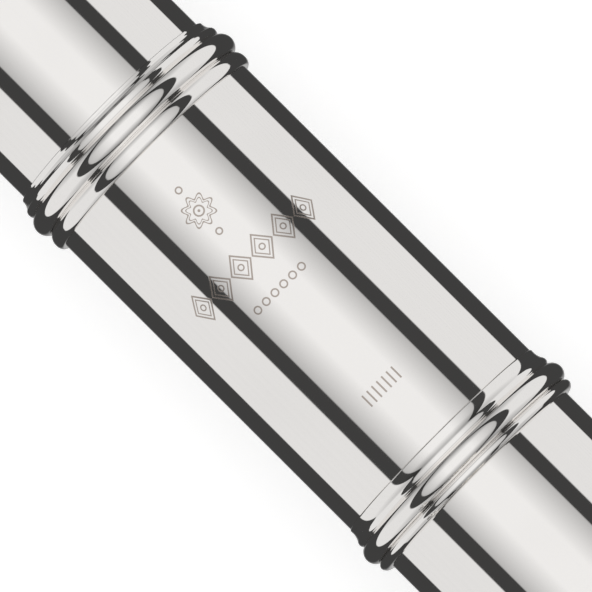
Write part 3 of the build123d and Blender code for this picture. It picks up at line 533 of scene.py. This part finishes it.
# Distance from the embouchure, radius, and angle from the top towards the listener.
body_holes = [(187.0, 3.9, 0.0), (208.0, 3.9, 0.0), (233.0, 3.6, 0.0), (272.0, 6.5, -122.0), (291.5, 6.8, 0.0),
              (312.0, 6.9, 0.0), (333.5, 7.1, 13.0), (356.5, 7.2, 13.0), (356.5, 6.7, 125.0), (380.7, 7.4, 0.0),
              (406.5, 7.5, 0.0), (434.0, 7.6, 0.0), (462.0, 7.65, 0.0)]
foot_holes = [(495.5, 7.8, -12.0), (524.5, 7.9, -12.0), (556.0, 7.9, -12.0)]


def stand_up(piece, distance, angle):
    """Moves a piece turned about the tube's axis so that its axis points out through a tone hole."""
    out = Vector((0, sin(radians(angle)), cos(radians(angle))))
    sideways = Vector((0, -out.z, out.y))
    place = Matrix((out, sideways, (1, 0, 0))).transposed().to_4x4()
    place.translation = Vector((embouchure_x + distance / 1000, 0, 0))
    piece.matrix_world = place
    choose(piece)
    bpy.ops.object.transform_apply(location=True, rotation=True, scale=True)


def joined(pieces):
    choose(pieces[0])
    for piece in pieces:
        piece.select_set(True)
    bpy.ops.object.join()
    return bpy.context.object


def rod(name, start, end, radius, steps):
    return turn(name, [(start, 0.0), (start, radius), (end, radius), (end, 0.0)], steps)


def drawn_tube(name, start, end, holes, plain_until):
    """A tube, its tone holes, and a chimney with a rolled rim round each of them."""
    wall = turn(name, [(start, tube_inner), (start, tube_outer), (plain_until, tube_outer), (end, tube_outer),
                       (end, tube_inner), (plain_until, tube_inner)])
    cutters = []
    chimneys = []
    for distance, radius, angle in holes:
        cutter = rod("cutter", lowest_wall / 1000, 0.016, (radius + hole_wall / 2) / 1000, 96)
        stand_up(cutter, distance, angle)
        cutters.append(cutter)
        rim = rim_height - rim_bead
        outer = radius + hole_wall
        outline = [(4.0, radius), (4.0, outer), (rim - rim_bead, outer)]
        outline += arc((rim - rim_bead, outer + 0.02), (rim, outer + rim_bead), (rim_height, outer), 10)
        outline += arc((rim_height, outer), (rim + 0.25, outer - 0.25), (rim, radius + 0.04), 6)
        outline += [(rim, radius + 0.04), (rim - 0.1, radius)]
        chimney = turn("chimney", millimetres(0, outline), 120)
        stand_up(chimney, distance, angle)
        chimneys.append(chimney)
    cut(wall, joined(cutters))
    chimney = joined(chimneys)
    cut(chimney, rod("bore", start - 0.001, end + 0.001, tube_inner + 0.0001, 180))
    piece = joined([wall, chimney])
    smooth_again(piece)
    return piece


body_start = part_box("body_tube")[0].x
body_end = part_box("body_tube")[1].x
body_piece = drawn_tube("body_tube_drawn", body_start, body_end, body_holes, embouchure_x + 0.180)
finish_piece(body_piece, tube_silver, "body", "polished_silver", "body_tube")
foot_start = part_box("foot_tube")[0].x
foot_piece = drawn_tube("foot_tube_drawn", foot_start, 0.0, foot_holes, embouchure_x + 0.4861)
finish_piece(foot_piece, tube_silver, "foot", "polished_silver", "foot_tube")

# The foot's socket sleeve, its ring and the ring at its open end are turned like the barrel's.
socket_low, socket_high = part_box("foot_socket")
foot_ring_low, foot_ring_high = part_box("foot_ring")
socket_piece = turn("foot_socket_sleeve", [
    (socket_low.x, socket_bore), (socket_low.x, ring_seat / 1000), (foot_ring_high.x, ring_seat / 1000),
    (foot_ring_high.x, sleeve_radius - seam), (foot_ring_high.x + seam, sleeve_radius),
    (socket_high.x - 0.0003, sleeve_radius), (socket_high.x, sleeve_radius - 0.00025),
    (socket_high.x, 0.00989), (foot_start, 0.00989), (foot_start, socket_bore)])
finish_piece(socket_piece, tube_silver, "foot", "polished_silver", "foot_socket")
mirrored = [(foot_ring_high.x - x / 1000, r / 1000) for x, r in reversed(body_moulding())]
foot_ring_piece = turn("foot_ring_moulding", mirrored)
finish_piece(foot_ring_piece, tube_silver, "foot", "polished_silver", "foot_ring")
end_moulding = ([(-3.2, 9.89), (-3.2, 10.1)] + arc((-3.18, 10.12), (-2.85, 10.3), (-2.5, 10.1), 10)
                + arc((-2.5, 10.1), (-1.25, 10.72), (-0.05, 10.1), 28) + [(-0.05, 10.1), (-0.05, 9.89)])
end_ring_piece = turn("foot_end_moulding", millimetres(0, end_moulding))
finish_piece(end_ring_piece, tube_silver, "foot", "polished_silver", "foot_end_ring")

# ---------------------------------------------------------------- materials of the smaller parts
# Keys and posts are cast and plated like the tubes, steels are ground, needle springs are blued, pads are felt
# under fish skin, and the stopper is cork between turned plates.
def surface(name, colours, roughness, metallic=0.0, grain=(900, 900, 900), detail=5.0, relief=0.00004, strength=0.3,
            coat=0.0, speckle=None):
    """A procedural material: two colours mixed by noise, uneven roughness and a fine relief."""
    material = bpy.data.materials.new(name)
    material.use_nodes = True
    tree = material.node_tree
    tree.nodes.clear()
    place = make(tree, "ShaderNodeTexCoord", output=3)
    stretched = make(tree, "ShaderNodeMapping", {"Vector": place, "Scale": grain})
    noise = make(tree, "ShaderNodeTexNoise", {"Vector": stretched, "Scale": 1.0, "Detail": detail})
    broad = make(tree, "ShaderNodeTexNoise", {"Vector": place, "Scale": 160.0, "Detail": 3.0})
    base = blend_colour(tree, noise.step(0.35, 0.68), colour(*colours[0]), colour(*colours[1]))
    base = blend_colour(tree, broad.step(0.45, 0.75) * 0.35, base, colour(*[c * 0.8 for c in colours[0]]))
    if speckle:
        cells = make(tree, "ShaderNodeTexVoronoi", {"Vector": place, "Scale": 1100.0})
        base = blend_colour(tree, cells.step(0.26, 0.14) * 0.8, base, colour(*speckle))
    rough = roughness + (noise - 0.5) * 0.2 + broad.step(0.5, 0.8) * 0.06
    bump = make(tree, "ShaderNodeBump", {"Strength": strength, "Distance": relief, "Height": noise})
    shader = make(tree, "ShaderNodeBsdfPrincipled", {"Base Color": base, "Metallic": metallic, "Roughness": rough,
                                                     "Coat Weight": coat, "Normal": bump})
    out = tree.nodes.new("ShaderNodeOutputMaterial")
    tree.links.new(shader.socket, out.inputs["Surface"])
    return material


finishes = {
    "polished_silver": tube_silver,
    "key_silver": silver("key_silver", (0.935, 0.918, 0.898), 0.06, 0.06, (900, 900, 900)),
    "post_silver": silver("post_silver", (0.925, 0.908, 0.885), 0.07, 0.06, (700, 700, 700)),
    "hinge_steel": surface("ground_steel", [(0.56, 0.57, 0.59), (0.68, 0.68, 0.69)], 0.26, 1.0,
                           (9000, 300, 300), relief=0.00001, strength=0.1),
    "blued_steel": surface("blued_spring_steel", [(0.035, 0.06, 0.17), (0.10, 0.13, 0.30)], 0.24, 1.0,
                           (500, 2500, 2500), relief=0.00001, strength=0.1, coat=0.3),
    "stopper_metal": surface("turned_nickel", [(0.70, 0.64, 0.50), (0.80, 0.75, 0.64)], 0.24, 1.0,
                             (6000, 500, 500), relief=0.00001, strength=0.15),
    "pad_skin": surface("fish_skin_pad", [(0.83, 0.70, 0.44), (0.93, 0.85, 0.66)], 0.38, 0.0,
                        (650, 650, 650), relief=0.0001, strength=0.35, coat=0.25),
    "cork": surface("natural_cork", [(0.52, 0.32, 0.17), (0.72, 0.50, 0.30)], 0.8, 0.0,
                    (1400, 1400, 1400), relief=0.0001, strength=0.5, speckle=(0.16, 0.08, 0.04)),
}


# ---------------------------------------------------------------- keys, posts, ribs, steels, springs and pads
# Every remaining part keeps its exact solid, with the seams between its faces merged and its round faces
# shaded smooth, because its edges and clearances are what the key work runs on.
def refined(node, material, slot, angle=32):
    """A copy of a solid with its seams merged and its round faces shaded smooth, standing in its place."""
    clear_selection()
    source = frame["nodes"][node]
    piece = source.copy()
    piece.data = source.data.copy()
    piece.name = node + "_finished"
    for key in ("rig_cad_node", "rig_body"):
        if key in piece:
            del piece[key]
    bpy.context.scene.collection.objects.link(piece)
    choose(piece)
    bpy.ops.object.mode_set(mode="EDIT")
    bpy.ops.mesh.select_all(action="SELECT")
    bpy.ops.mesh.remove_doubles(threshold=2e-6)
    bpy.ops.object.mode_set(mode="OBJECT")
    bpy.ops.object.shade_smooth_by_angle(angle=radians(angle))
    body = source.parent.name.removeprefix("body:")
    piece.parent = None
    finish_piece(piece, material, body, slot, node)
    return piece


for row in frame["record"]["subparts"]:
    if not frame["nodes"][row["node"]].hide_render:
        refined(row["node"], finishes[row["material_slot"]], row["material_slot"])
